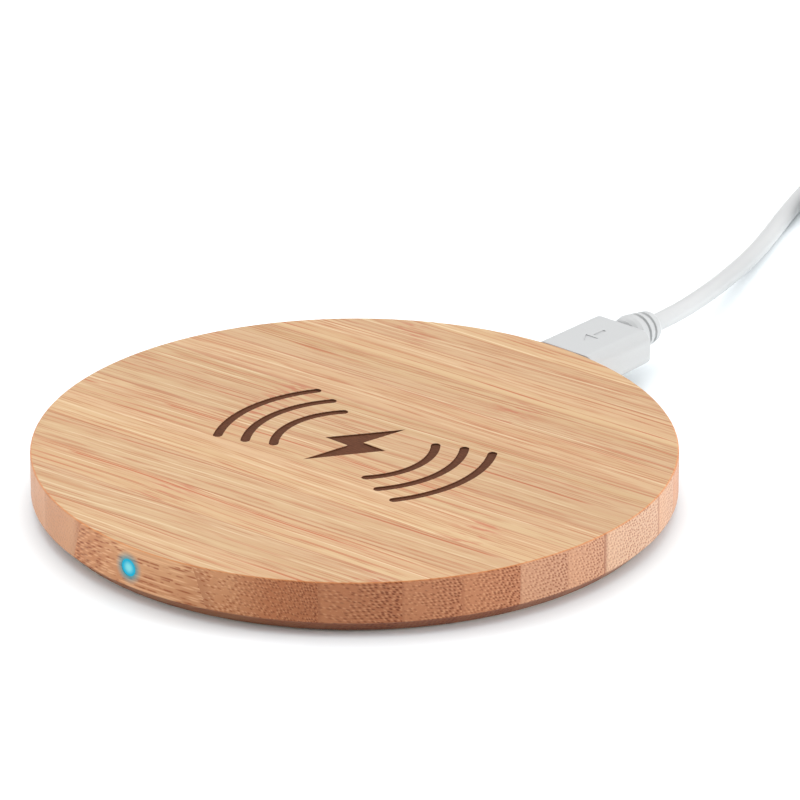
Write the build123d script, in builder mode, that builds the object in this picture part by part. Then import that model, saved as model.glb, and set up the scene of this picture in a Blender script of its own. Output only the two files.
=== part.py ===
from build123d import *
import math
import os

# Round bamboo wireless charging pad with its detachable cable.
# Millimetres. Origin: centre of the pad on the surface it stands on. +Z up, +Y towards the port.

os.makedirs("parts", exist_ok=True)

# Bamboo body
pad_radius = 50.0
pad_height = 9.0
foot_gap = 0.4
base_chamfer = 2.0
top_edge_radius = 0.35
recess_radius = 46.7
pocket_radius = 37.0
pocket_roof = 7.2

# Mark burnt into the top: a lightning bolt between arcs
mark_depth = 0.25
mark_stroke = 1.5
mark_arcs = ((12.5, 40.0), (17.0, 36.0), (21.5, 32.0))
bolt_outline = ((2.2, 9.5), (-5.2, -1.0), (-0.6, -1.0), (-2.2, -9.5), (5.2, 1.4), (0.6, 1.4))

# Bottom cover, feet and screws
cover_radius = 46.5
cover_bottom = 0.5
cover_top = 2.3
fastener_circle = 41.0
fastener_start = 45.0
foot_radius = 3.7
foot_recess_radius = 3.8
foot_recess_depth = 0.5
screw_head_radius = 2.0
screw_head_height = 0.75
screw_shank_radius = 0.95
screw_recess_width = 0.5
screw_recess_length = 2.2
screw_recess_depth = 0.45
screw_tip = 6.6
pilot_depth_z = 6.8
post_circle = 33.5
post_radius = 2.0
pin_radius = 0.8

# Circuit board and what stands on it
board_radius = 36.5
board_bottom = 3.3
board_top = 4.5
board_front = -35.8
board_tongue_width = 12.0
board_tongue_end = 46.0
film_thickness = 0.1
ferrite_radius = 24.5
ferrite_thickness = 0.6
wire_diameter = 1.1
winding_inner = 10.5
winding_pitch = 1.2
winding_turns = 10
lead_diameter = 0.8
foam_radius = 23.5
foam_hole_radius = 9.0
foam_channel_length = 22.0
thermistor_size = (2.6, 2.0, 1.2)
thermistor_wire_radius = 0.2

# Status light
light_x = -0.45
light_z = 5.45
light_guide_radius = 1.4
light_guide_flange = 1.6
light_guide_face = -49.95
led_width = 2.8
led_depth = 1.4
led_height = 2.0
led_lens_radius = 0.75

# Micro-USB port and plug
port_z = 5.8
port_mouth = 47.9
port_back = 42.5
port_width = 7.7
port_height = 2.6
port_wall = 0.25
slot_width = 8.6
slot_height = 3.2
slot_corner = 1.2
plug_face = 50.1
plug_tip = 43.3
plug_shell_width = 6.85
plug_shell_height = 1.8
plug_shell_wall = 0.2
contact_pitch = 0.65
contact_width = 0.35
plug_shell_corner = 0.55
plug_shell_hold = 3.0
overmould_width = 12.1
overmould_bottom = 2.7
overmould_top = 8.9
overmould_rear_bottom = 3.3
overmould_end = 64.7
grip_top_round = 1.9
grip_bottom_round = 1.4
grip_rear_round = 0.6
grip_front_round = 0.2
arrow_depth = 0.12
boot_z = 6.1
boot_end = 72.0

# Cable
cable_diameter = 3.0
coil_centre = (-5.8, 162.0)
coil_radii = (13.0, 16.0, 19.0, 22.0)
tie_thickness = 0.4
tie_width = 6.0

# USB-A plug on the far end
usb_a_x = 31.2
usb_a_z = 4.0
usb_a_boot_start = 142.5
usb_a_boot_length = 8.0
usb_a_body_length = 24.0
usb_a_body_width = 15.6
usb_a_shell_length = 12.5
usb_a_shell_width = 12.0
usb_a_shell_height = 4.5
usb_a_shell_wall = 0.3
usb_a_hold = 4.0

film_top = board_top + film_thickness
ferrite_top = film_top + ferrite_thickness
winding_z = ferrite_top + wire_diameter / 2
foam_bottom = ferrite_top + wire_diameter
winding_outer = winding_inner + winding_pitch * winding_turns
on_floor = (Align.CENTER, Align.CENTER, Align.MIN)


def cable_path(points):
    """Straight runs joined by tangent arcs, each arc as large as its two runs allow."""
    corners = [Vector(*point) for point in points]
    radii = []
    for before, corner, after in zip(corners, corners[1:], corners[2:]):
        turn = math.radians((corner - before).get_angle(after - corner))
        shorter = min((corner - before).length, (after - corner).length)
        radii.append(0.45 * shorter / math.tan(turn / 2))
    print("cable radii", [round(radius, 1) for radius in radii])
    with BuildLine() as path:
        FilletPolyline(*points, radius=radii)
    return path.wire()


# Bamboo shell: solid bamboo, turned outside, milled from below
with BuildPart() as bamboo_shell:
    with Locations((0, 0, foot_gap)):
        Cylinder(pad_radius, pad_height - foot_gap, align=on_floor)
    chamfer(bamboo_shell.edges().group_by(Axis.Z)[0], base_chamfer)
    fillet(bamboo_shell.edges().group_by(Axis.Z)[-1], top_edge_radius)
    with BuildSketch(Plane.XY.offset(foot_gap)):
        Circle(recess_radius)
    extrude(amount=cover_top - foot_gap, mode=Mode.SUBTRACT)
    with BuildSketch(Plane.XY.offset(cover_top)):
        Circle(pocket_radius)
        with Locations((0, pocket_radius)):
            Rectangle(board_tongue_width + 0.6, 2 * (recess_radius - 0.5 - pocket_radius))
    extrude(amount=pocket_roof - cover_top, mode=Mode.SUBTRACT)
    with BuildSketch(Plane.XZ.offset(-pad_radius)):
        with Locations((0, port_z)):
            RectangleRounded(slot_width, slot_height, slot_corner)
    extrude(amount=pad_radius - recess_radius + 1.0, mode=Mode.SUBTRACT)
    with BuildSketch(Plane.XZ.offset(pad_radius)):
        with Locations((light_x, light_z)):
            Circle(light_guide_radius)
    extrude(amount=-(pad_radius - pocket_radius + 1.0), mode=Mode.SUBTRACT)
    with BuildSketch(Plane.XY.offset(cover_top)):
        with PolarLocations(fastener_circle, 4, start_angle=fastener_start):
            Circle(screw_shank_radius)
    extrude(amount=pilot_depth_z - cover_top, mode=Mode.SUBTRACT)
    with BuildSketch(Plane.XY.offset(pad_height)):
        with BuildLine():
            Polyline(*bolt_outline, close=True)
        make_face()
        for radius, half_span in mark_arcs:
            for side in (0.0, 180.0):
                SlotArc(CenterArc((0, 0), radius, side - half_span, 2 * half_span), mark_stroke)
    extrude(amount=-mark_depth, mode=Mode.SUBTRACT)
bamboo_shell.part.label = "bamboo_shell"
export_step(bamboo_shell.part, "parts/bamboo_shell.step")

# Bottom cover: disc with foot recesses, screw holes, board posts and a rest for the port
with BuildPart() as bottom_cover:
    with Locations((0, 0, cover_bottom)):
        Cylinder(cover_radius, cover_top - cover_bottom, align=on_floor)
    chamfer(bottom_cover.edges().group_by(Axis.Z)[0], 0.3)
    with BuildSketch(Plane.XY.offset(cover_top)):
        with PolarLocations(post_circle, 4, start_angle=fastener_start):
            Circle(post_radius)
        with Locations((0, board_tongue_end - 2.5)):
            Rectangle(9.0, 3.0)
    extrude(amount=board_bottom - cover_top)
    with BuildSketch(Plane.XY.offset(board_bottom)):
        with PolarLocations(post_circle, 4, start_angle=fastener_start):
            Circle(pin_radius)
    extrude(amount=board_top - board_bottom - 0.2)
    with BuildSketch(Plane.XY.offset(cover_bottom)):
        with PolarLocations(fastener_circle, 4, start_angle=fastener_start):
            Circle(foot_recess_radius)
    extrude(amount=foot_recess_depth, mode=Mode.SUBTRACT)
    with BuildSketch(Plane.XY.offset(cover_bottom)):
        with PolarLocations(fastener_circle, 4, start_angle=fastener_start):
            Circle(screw_head_radius + 0.2)
    extrude(amount=foot_recess_depth + screw_head_height + 0.05, mode=Mode.SUBTRACT)
    with BuildSketch(Plane.XY.offset(cover_bottom)):
        with PolarLocations(fastener_circle, 4, start_angle=fastener_start):
            Circle(screw_shank_radius + 0.25)
    extrude(amount=cover_top - cover_bottom, mode=Mode.SUBTRACT)
bottom_cover.part.label = "bottom_cover"
export_step(bottom_cover.part, "parts/bottom_cover.step")

# Cover screws: pan heads under the feet, shanks cutting into the bamboo
head_bottom = cover_bottom + foot_recess_depth + 0.05
head_top = head_bottom + screw_head_height
with BuildPart() as cover_screws:
    with BuildSketch(Plane.XY.offset(head_bottom)):
        with PolarLocations(fastener_circle, 4, start_angle=fastener_start):
            Circle(screw_head_radius)
    extrude(amount=screw_head_height)
    with BuildSketch(Plane.XY.offset(head_top)):
        with PolarLocations(fastener_circle, 4, start_angle=fastener_start):
            Circle(screw_shank_radius)
    extrude(amount=screw_tip - head_top)
    with BuildSketch(Plane.XY.offset(head_bottom)):
        with PolarLocations(fastener_circle, 4, start_angle=fastener_start):
            Rectangle(screw_recess_length, screw_recess_width)
            Rectangle(screw_recess_width, screw_recess_length)
    extrude(amount=screw_recess_depth, mode=Mode.SUBTRACT)
cover_screws.part.label = "cover_screws"
export_step(cover_screws.part, "parts/cover_screws.step")

# Rubber feet stuck over the screw heads
with BuildPart() as rubber_feet:
    with BuildSketch(Plane.XY):
        with PolarLocations(fastener_circle, 4, start_angle=fastener_start):
            Circle(foot_radius)
    extrude(amount=cover_bottom + foot_recess_depth)
    fillet(rubber_feet.edges().group_by(Axis.Z)[0], 0.25)
rubber_feet.part.label = "rubber_feet"
export_step(rubber_feet.part, "parts/rubber_feet.step")

# Main circuit board: disc with a tongue for the port, a flat for the status light and pin holes
with BuildPart() as main_board:
    with BuildSketch(Plane.XY.offset(board_bottom)):
        Circle(board_radius)
        with Locations((0, board_tongue_end / 2)):
            Rectangle(board_tongue_width, board_tongue_end)
        with Locations((0, board_front - 5.0)):
            Rectangle(2 * board_radius, 10.0, mode=Mode.SUBTRACT)
        with PolarLocations(post_circle, 4, start_angle=fastener_start):
            Circle(pin_radius + 0.1, mode=Mode.SUBTRACT)
    extrude(amount=board_top - board_bottom)
main_board.part.label = "main_board"
export_step(main_board.part, "parts/main_board.step")

# Adhesive film between board and ferrite
with BuildPart() as adhesive_film:
    with BuildSketch(Plane.XY.offset(board_top)):
        Circle(ferrite_radius - 0.5)
    extrude(amount=film_thickness)
adhesive_film.part.label = "adhesive_film"
export_step(adhesive_film.part, "parts/adhesive_film.step")

# Ferrite shield under the winding
with BuildPart() as ferrite_shield:
    with BuildSketch(Plane.XY.offset(film_top)):
        Circle(ferrite_radius)
    extrude(amount=ferrite_thickness)
ferrite_shield.part.label = "ferrite_shield"
export_step(ferrite_shield.part, "parts/ferrite_shield.step")

# Charging coil: a flat spiral of stranded wire, made of half turns about two centres
with BuildPart() as charging_coil:
    with BuildLine(Plane.XY.offset(winding_z)) as winding:
        for turn in range(winding_turns):
            radius = winding_inner + turn * winding_pitch
            CenterArc((0, 0), radius, 0, 180)
            CenterArc((winding_pitch / 2, 0), radius + winding_pitch / 2, 180, 180)
    with BuildSketch(Plane.XZ):
        with Locations((winding_inner, winding_z)):
            Circle(wire_diameter / 2)
    sweep(path=winding.wire())
charging_coil.part.label = "charging_coil"
export_step(charging_coil.part, "parts/charging_coil.step")

# Sleeved ends of the winding: the inner one crosses over the turns, both end on the board
lead_top = foam_bottom + lead_diameter / 2
lead_low = board_top + lead_diameter / 2 + 0.1
inner_lead = (
    (winding_inner - 0.2, -0.4, winding_z),
    (9.2, -3.2, winding_z + 0.3),
    (11.5, -6.0, lead_top),
    (24.0, -6.0, lead_top + 0.02),
    (27.2, -6.4, lead_low),
    (29.8, -7.2, lead_low),
)
outer_lead = (
    (winding_outer + 0.1, 0.4, winding_z),
    (winding_outer + 0.5, 5.5, winding_z),
    (25.5, 10.0, lead_low + 0.1),
    (27.0, 14.0, lead_low),
)
with BuildPart() as coil_leads:
    for route in (inner_lead, outer_lead):
        with BuildLine() as lead:
            FilletPolyline(*route, radius=0.8)
        with BuildSketch(Plane(lead.wire() @ 0, z_dir=lead.wire() % 0)):
            Circle(lead_diameter / 2)
        sweep(path=lead.wire())
coil_leads.part.label = "coil_leads"
export_step(coil_leads.part, "parts/coil_leads.step")

# Solder joints where the coil leads end
with BuildPart() as solder_joints:
    with BuildSketch(Plane.XY.offset(board_top)):
        with Locations((31.0, -7.5), (27.4, 15.4)):
            Ellipse(1.3, 1.1)
    extrude(amount=0.9, taper=30)
solder_joints.part.label = "solder_joints"
export_step(solder_joints.part, "parts/solder_joints.step")

# Foam pad that presses the winding against the ferrite, with channels for the leads
with BuildPart() as foam_pad:
    with BuildSketch(Plane.XY.offset(foam_bottom)):
        Circle(foam_radius)
        Circle(foam_hole_radius, mode=Mode.SUBTRACT)
        with Locations((foam_radius - 6.0, -4.8)):
            Rectangle(foam_channel_length, 5.4, mode=Mode.SUBTRACT)
    extrude(amount=pocket_roof - foam_bottom)
    with BuildSketch(Plane.XY.offset(foam_bottom)):
        with Locations((-foam_radius + 6.0, 0)):
            Rectangle(foam_channel_length, 2.4)
    extrude(amount=0.6, mode=Mode.SUBTRACT)
foam_pad.part.label = "foam_pad"
export_step(foam_pad.part, "parts/foam_pad.step")

# Thermistor bead in the middle of the winding, with its two wires
with BuildPart() as thermistor:
    with Locations((0, 0, ferrite_top)):
        Box(*thermistor_size, align=on_floor)
    fillet(thermistor.edges().filter_by(Axis.Z), 0.6)
    for side in (-0.5, 0.5):
        with BuildLine() as wire:
            FilletPolyline(
                (-1.0, side, ferrite_top + 0.7),
                (-6.0, side, ferrite_top + 0.7),
                (-9.0, side, foam_bottom + 0.35),
                (-24.5, side, foam_bottom + 0.36),
                (-27.5, side, board_top + 0.3),
                (-29.0, side, board_top + 0.3),
                radius=0.6,
            )
        with BuildSketch(Plane(wire.wire() @ 0, z_dir=wire.wire() % 0)):
            Circle(thermistor_wire_radius)
        sweep(path=wire.wire())
thermistor.part.label = "thermistor"
export_step(thermistor.part, "parts/thermistor.step")

# Chips and passives on the board: name, length, width, height, radius, and the angles they sit at
board_parts = (
    ("controller_chip", 5.0, 5.0, 0.9, 30.5, (158.0,)),
    ("power_transistors", 3.3, 3.3, 0.9, 30.5, (196.0, 205.0, 214.0, 234.0)),
    ("resonant_capacitors", 3.2, 2.5, 2.0, 30.5, (296.0, 303.0, 324.0, 331.0)),
    ("power_inductor", 4.2, 4.2, 2.0, 30.5, (118.0,)),
    ("input_capacitors", 3.2, 1.6, 1.6, 32.5, (72.0, 108.0)),
    ("crystal", 3.2, 2.5, 0.7, 30.5, (144.0,)),
    ("chip_capacitors", 1.6, 0.8, 0.8, 28.0, (60.0, 66.0, 84.0, 96.0, 128.0, 170.0, 226.0, 246.0)),
    ("chip_resistors", 1.0, 0.5, 0.4, 33.8, (56.0, 64.0, 82.0, 98.0, 126.0, 172.0, 188.0, 244.0)),
)
for name, length, width, height, circle, angles in board_parts:
    with BuildPart() as board_part:
        for angle in angles:
            spot = Location((0, 0, board_top), (0, 0, angle)) * Location((circle, 0, 0))
            with Locations(spot):
                Box(width, length, height, align=on_floor)
        fillet(board_part.edges().filter_by(Axis.Z), 0.1)
    board_part.part.label = name
    export_step(board_part.part, f"parts/{name}.step")

# Status light: side-looking LED on the front edge of the board, with a domed lens
led_back = board_front + 1.8
with BuildPart() as status_led:
    with Locations((light_x, led_back - led_depth / 2, board_top)):
        Box(led_width, led_depth, led_height, align=on_floor)
    with Locations((light_x, led_back - led_depth, light_z)):
        Sphere(led_lens_radius)
status_led.part.label = "status_led"
export_step(status_led.part, "parts/status_led.step")

# Light guide: clear rod through the rim, with a flange inside the pocket
with BuildPart() as light_guide:
    with BuildSketch(Plane.XZ.offset(-light_guide_face)):
        with Locations((light_x, light_z)):
            Circle(light_guide_radius)
    extrude(amount=light_guide_face + pocket_radius - 0.1)
    with BuildSketch(Plane.XZ.offset(pocket_radius - 0.1)):
        with Locations((light_x, light_z)):
            Circle(light_guide_flange)
    extrude(amount=-0.6)
    fillet(light_guide.edges().group_by(Axis.Y)[0], 0.12)
light_guide.part.label = "light_guide"
export_step(light_guide.part, "parts/light_guide.step")

# Port: receptacle shell, a sheet-metal tube with a flared mouth and tabs soldered to the board
with BuildPart() as receptacle_shell:
    with BuildSketch(Plane.XZ.offset(-port_mouth)):
        with Locations((0, port_z)):
            RectangleRounded(port_width, port_height, 0.6)
            RectangleRounded(port_width - 2 * port_wall, port_height - 2 * port_wall, 0.4, mode=Mode.SUBTRACT)
    extrude(amount=port_mouth - port_back)
    with BuildSketch(Plane.XZ.offset(-port_mouth)):
        with Locations((0, port_z)):
            RectangleRounded(port_width + 0.5, port_height + 0.3, 0.7)
            RectangleRounded(port_width - 2 * port_wall, port_height - 2 * port_wall, 0.4, mode=Mode.SUBTRACT)
    extrude(amount=0.3)
    with Locations((-port_width / 2 - 0.1, 44.2, board_top), (port_width / 2 + 0.1, 44.2, board_top)):
        Box(1.6, 1.6, port_wall, align=on_floor)
receptacle_shell.part.label = "receptacle_shell"
export_step(receptacle_shell.part, "parts/receptacle_shell.step")

# Port: contact carrier with its tongue
tongue_bottom = port_z
tongue_top = port_z + 0.45
contact_offsets = [contact_pitch * step for step in range(-2, 3)]
carrier_front = port_back + 0.6
with BuildPart() as receptacle_tongue:
    with BuildSketch(Plane.XZ.offset(-port_back)):
        with Locations((0, port_z)):
            RectangleRounded(port_width - 2 * port_wall, port_height - 2 * port_wall, 0.4)
    extrude(amount=-(carrier_front - port_back))
    with BuildSketch(Plane.XZ.offset(-carrier_front)):
        with Locations((0, (tongue_bottom + tongue_top) / 2)):
            Rectangle(3.7, tongue_top - tongue_bottom)
    extrude(amount=-(port_mouth - 0.9 - carrier_front))
    with BuildSketch(Plane.XZ.offset(-port_back)):
        for offset in contact_offsets:
            with Locations((offset, tongue_bottom - 0.075)):
                Rectangle(contact_width, 0.15)
    extrude(amount=-(carrier_front - port_back), mode=Mode.SUBTRACT)
receptacle_tongue.part.label = "receptacle_tongue"
export_step(receptacle_tongue.part, "parts/receptacle_tongue.step")

# Port: five contacts under the tongue, bent down to the board behind the shell
with BuildPart() as receptacle_contacts:
    for offset in contact_offsets:
        with BuildSketch(Plane.YZ.offset(offset - contact_width / 2)):
            with BuildLine():
                Polyline(
                    (port_mouth - 1.2, tongue_bottom),
                    (port_back - 0.35, tongue_bottom),
                    (port_back - 0.35, board_top + 0.15),
                    (port_back - 1.3, board_top + 0.15),
                    (port_back - 1.3, board_top),
                    (port_back - 0.2, board_top),
                    (port_back - 0.2, tongue_bottom - 0.15),
                    (port_mouth - 1.2, tongue_bottom - 0.15),
                    close=True,
                )
            make_face()
        extrude(amount=contact_width)
receptacle_contacts.part.label = "receptacle_contacts"
export_step(receptacle_contacts.part, "parts/receptacle_contacts.step")

# Micro plug: metal shell with two latch bumps underneath
shell_end = plug_face + plug_shell_hold
with BuildPart() as micro_plug_shell:
    with BuildSketch(Plane.XZ.offset(-plug_tip)):
        with Locations((0, port_z)):
            RectangleRounded(plug_shell_width, plug_shell_height, plug_shell_corner)
            RectangleRounded(
                plug_shell_width - 2 * plug_shell_wall,
                plug_shell_height - 2 * plug_shell_wall,
                plug_shell_corner - plug_shell_wall,
                mode=Mode.SUBTRACT,
            )
    extrude(amount=-(shell_end - plug_tip))
    with BuildSketch(Plane.XY.offset(port_z - plug_shell_height / 2)):
        with Locations((-2.3, plug_tip + 1.8), (2.3, plug_tip + 1.8)):
            Rectangle(0.6, 0.9)
    extrude(amount=-0.1)
micro_plug_shell.part.label = "micro_plug_shell"
export_step(micro_plug_shell.part, "parts/micro_plug_shell.step")

# Micro plug: contact carrier in the lower half of the shell
plug_inside_bottom = port_z - plug_shell_height / 2 + plug_shell_wall
plug_carrier_height = 0.35
with BuildPart() as micro_plug_carrier:
    with BuildSketch(Plane.XY.offset(plug_inside_bottom)):
        with Locations((0, (plug_tip + 0.4 + shell_end) / 2)):
            Rectangle(5.4, shell_end - plug_tip - 0.4)
    extrude(amount=plug_carrier_height)
    with BuildSketch(Plane.XY.offset(plug_inside_bottom)):
        with Locations((0, (plug_face + shell_end) / 2)):
            Rectangle(5.4, shell_end - plug_face)
    extrude(amount=1.35)
micro_plug_carrier.part.label = "micro_plug_carrier"
export_step(micro_plug_carrier.part, "parts/micro_plug_carrier.step")

# Micro plug: five spring contacts on the carrier
with BuildPart() as micro_plug_contacts:
    with BuildSketch(Plane.XY.offset(plug_inside_bottom + plug_carrier_height)):
        for offset in contact_offsets:
            with Locations((offset, (plug_tip + 0.8 + plug_face) / 2)):
                Rectangle(contact_width, plug_face - plug_tip - 0.8)
    extrude(amount=0.12)
micro_plug_contacts.part.label = "micro_plug_contacts"
export_step(micro_plug_contacts.part, "parts/micro_plug_contacts.step")

# Micro plug: moulded grip, thinner towards the cable, with a small arrow that shows its upper side
overmould_middle = (plug_face + overmould_end) / 2
with BuildPart() as micro_plug_grip:
    with BuildSketch(Plane.YZ):
        with BuildLine():
            Polyline(
                (plug_face, overmould_bottom),
                (overmould_end, overmould_rear_bottom),
                (overmould_end, overmould_top),
                (plug_face, overmould_top),
                close=True,
            )
        make_face()
    extrude(amount=overmould_width / 2, both=True)
    long_edges = micro_plug_grip.edges().filter_by(Axis.X, reverse=True).filter_by(Axis.Z, reverse=True)
    fillet(long_edges.group_by(Axis.Z)[-1], grip_top_round)
    long_edges = [edge for edge in long_edges if edge.center().Z < boot_z]
    fillet(long_edges, grip_bottom_round)
    fillet(micro_plug_grip.faces().sort_by(Axis.Y)[-1].edges(), grip_rear_round)
    fillet(micro_plug_grip.faces().sort_by(Axis.Y)[0].edges(), grip_front_round)
    with BuildSketch(Plane.XZ.offset(-plug_face)):
        with Locations((0, port_z)):
            RectangleRounded(plug_shell_width, plug_shell_height, plug_shell_corner)
    extrude(amount=-(shell_end - plug_face), mode=Mode.SUBTRACT)
    with BuildSketch(Plane.XY.offset(overmould_top)):
        with Locations((0, overmould_middle - 1.2)):
            Triangle(a=2.6, B=60, C=60, rotation=180)
        with Locations((0, overmould_middle + 1.4)):
            RectangleRounded(0.7, 2.6, 0.3)
    extrude(amount=-arrow_depth, mode=Mode.SUBTRACT)
micro_plug_grip.part.label = "micro_plug_grip"
export_step(micro_plug_grip.part, "parts/micro_plug_grip.step")

# Strain reliefs: turned profiles with two grooves, as distance from the free end and radius
micro_boot = (
    (boot_end - overmould_end, 2.35),
    (6.9, 2.85),
    (6.3, 3.13),
    (5.5, 3.3),
    (4.45, 3.2),
    (4.2, 2.82),
    (3.8, 2.76),
    (3.6, 3.05),
    (2.75, 2.92),
    (2.5, 2.6),
    (2.15, 2.55),
    (1.95, 2.8),
    (0.9, 2.62),
    (0.3, 2.3),
    (0.0, 1.9),
)
usb_a_boot = (
    (usb_a_boot_length, 2.9),
    (5.9, 2.7),
    (5.7, 2.1),
    (5.2, 2.1),
    (5.0, 2.6),
    (3.8, 2.5),
    (3.6, 1.95),
    (3.1, 1.95),
    (2.9, 2.4),
    (0.0, 2.1),
)


def boot_face(profile, free_end, x, z):
    """Half section of a strain relief whose free end points along +Y."""
    outline = [(free_end - distance, z + radius) for distance, radius in profile]
    with BuildSketch(Plane.YZ.offset(x)) as section:
        with BuildLine():
            Polyline((free_end - profile[0][0], z), *outline, (free_end, z), close=True)
        make_face()
    return section.sketch


with BuildPart() as strain_relief:
    add(boot_face(micro_boot, boot_end, 0.0, boot_z))
    revolve(axis=Axis((0, 0, boot_z), (0, 1, 0)))
strain_relief.part.label = "strain_relief"
export_step(strain_relief.part, "parts/strain_relief.step")

# Cable from the plug to its coil: the points the route turns at
cable_lift = tie_thickness + cable_diameter / 2
layer_two = cable_lift + cable_diameter
lead_route = (
    (0.0, boot_end, boot_z),
    (0.0, 76.8, boot_z),
    (-2.3, 86.5, 5.2),
    (-7.0, 99.5, 3.4),
    (-13.5, 116.5, 1.6),
    (-21.8, 136.0, 1.55),
    (-26.7, 151.0, 1.8),
    (coil_centre[0] - coil_radii[-1], coil_centre[1], cable_lift),
)
tail_route = (
    (-19.9, 145.1, layer_two),
    (-27.0, 152.1, layer_two + 0.2),
    (-31.1, 162.0, layer_two - 0.2),
    (-29.9, 173.2, 3.2),
    (-23.3, 182.8, 1.8),
    (-13.4, 188.5, 1.55),
    (-1.9, 189.7, 1.5),
    (9.6, 186.6, 1.5),
    (19.7, 180.5, 1.5),
    (26.9, 171.5, 1.7),
    (30.4, 161.0, 2.6),
    (usb_a_x, 150.5, usb_a_z),
    (usb_a_x, usb_a_boot_start, usb_a_z),
)
for name, route in (("cable_lead", lead_route), ("cable_tail", tail_route)):
    path = cable_path(route)
    with BuildPart() as cable:
        with BuildSketch(Plane(path @ 0, z_dir=path % 0)):
            Circle(cable_diameter / 2)
        sweep(path=path)
    expected = path.length * math.pi * (cable_diameter / 2) ** 2
    print(name, "length", round(path.length, 1), "volume ratio", round(cable.part.volume / expected, 4))
    cable.part.label = name
    export_step(cable.part, f"parts/{name}.step")

# Cable coil: the outer shape of the put-away turns
coil_inner = coil_radii[0] - cable_diameter / 2
coil_outer = coil_radii[-1] + cable_diameter / 2
with BuildPart() as cable_coil:
    with BuildSketch(Plane.XY.offset(tie_thickness)):
        with Locations(coil_centre):
            Circle(coil_outer)
            Circle(coil_inner, mode=Mode.SUBTRACT)
    extrude(amount=2 * cable_diameter)
    rims = cable_coil.edges().filter_by(GeomType.CIRCLE)
    fillet(rims, 1.2)
cable_coil.part.label = "cable_coil"
export_step(cable_coil.part, "parts/cable_coil.step")

# Tie: a strap closed around the turns on one side
tie_middle = coil_centre[0] + (coil_inner + coil_outer) / 2
tie_z = tie_thickness + cable_diameter
with BuildPart() as cable_tie:
    with BuildSketch(Plane.XZ.offset(-coil_centre[1] + tie_width / 2)):
        with Locations((tie_middle, tie_z)):
            RectangleRounded(
                coil_outer - coil_inner + 2 * tie_thickness, 2 * (cable_diameter + tie_thickness), 1.6
            )
            RectangleRounded(coil_outer - coil_inner, 2 * cable_diameter, 1.2, mode=Mode.SUBTRACT)
    extrude(amount=-tie_width)
    with Locations((tie_middle + 1.0, coil_centre[1], 2 * tie_z)):
        Box(7.0, tie_width, tie_thickness, align=on_floor)
cable_tie.part.label = "cable_tie"
export_step(cable_tie.part, "parts/cable_tie.step")

# USB-A plug: strain relief
body_start = usb_a_boot_start - usb_a_boot_length
body_end = body_start - usb_a_body_length
with BuildPart() as usb_a_strain_relief:
    add(boot_face(usb_a_boot, usb_a_boot_start, usb_a_x, usb_a_z))
    revolve(axis=Axis((usb_a_x, 0, usb_a_z), (0, 1, 0)))
usb_a_strain_relief.part.label = "usb_a_strain_relief"
export_step(usb_a_strain_relief.part, "parts/usb_a_strain_relief.step")

# USB-A plug: moulded grip with the shell's pocket
usb_a_middle = (body_start + body_end) / 2
with BuildPart() as usb_a_grip:
    with Locations((usb_a_x, usb_a_middle, 0)):
        Box(usb_a_body_width, usb_a_body_length, 2 * usb_a_z, align=on_floor)
    fillet(usb_a_grip.edges().filter_by(Axis.Z), 2.0)
    fillet(usb_a_grip.faces().filter_by(Axis.Z).edges(), 1.2)
    with BuildSketch(Plane.XZ.offset(-body_end)):
        with Locations((usb_a_x, usb_a_z)):
            RectangleRounded(usb_a_shell_width, usb_a_shell_height, 0.5)
    extrude(amount=-usb_a_hold, mode=Mode.SUBTRACT)
    with BuildSketch(Plane.XY.offset(2 * usb_a_z)):
        with Locations((usb_a_x, usb_a_middle)):
            with GridLocations(0, 2.0, 1, 4):
                SlotOverall(8.0, 0.8)
    extrude(amount=-0.3, mode=Mode.SUBTRACT)
usb_a_grip.part.label = "usb_a_grip"
export_step(usb_a_grip.part, "parts/usb_a_grip.step")

# USB-A plug: sheet-metal shell with its two square windows on each wide side
shell_back = body_end + usb_a_hold
shell_front = body_end - usb_a_shell_length
with BuildPart() as usb_a_shell:
    with BuildSketch(Plane.XZ.offset(-shell_back)):
        with Locations((usb_a_x, usb_a_z)):
            RectangleRounded(usb_a_shell_width, usb_a_shell_height, 0.5)
            RectangleRounded(
                usb_a_shell_width - 2 * usb_a_shell_wall,
                usb_a_shell_height - 2 * usb_a_shell_wall,
                0.25,
                mode=Mode.SUBTRACT,
            )
    extrude(amount=shell_back - shell_front)
    with BuildSketch(Plane.XY):
        with Locations((usb_a_x - 2.8, body_end - 6.5), (usb_a_x + 2.8, body_end - 6.5)):
            Rectangle(2.2, 2.2)
    extrude(amount=2 * usb_a_z, mode=Mode.SUBTRACT)
usb_a_shell.part.label = "usb_a_shell"
export_step(usb_a_shell.part, "parts/usb_a_shell.step")

# USB-A plug: insulator that fills the lower half of the shell
insulator_bottom = usb_a_z - usb_a_shell_height / 2 + usb_a_shell_wall
insulator_height = 1.85
insulator_width = usb_a_shell_width - 2 * usb_a_shell_wall - 0.4
with BuildPart() as usb_a_insulator:
    with Locations((usb_a_x, (shell_back + shell_front + 0.3) / 2, insulator_bottom)):
        Box(insulator_width, shell_back - shell_front - 0.3, insulator_height, align=on_floor)
    with BuildSketch(Plane.XY.offset(insulator_bottom + insulator_height)):
        with Locations((usb_a_x, (shell_back + shell_front + 1.5) / 2)):
            with GridLocations(2.3, 0, 4, 1):
                Rectangle(1.0, shell_back - shell_front - 1.5)
    extrude(amount=-0.25, mode=Mode.SUBTRACT)
usb_a_insulator.part.label = "usb_a_insulator"
export_step(usb_a_insulator.part, "parts/usb_a_insulator.step")

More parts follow.
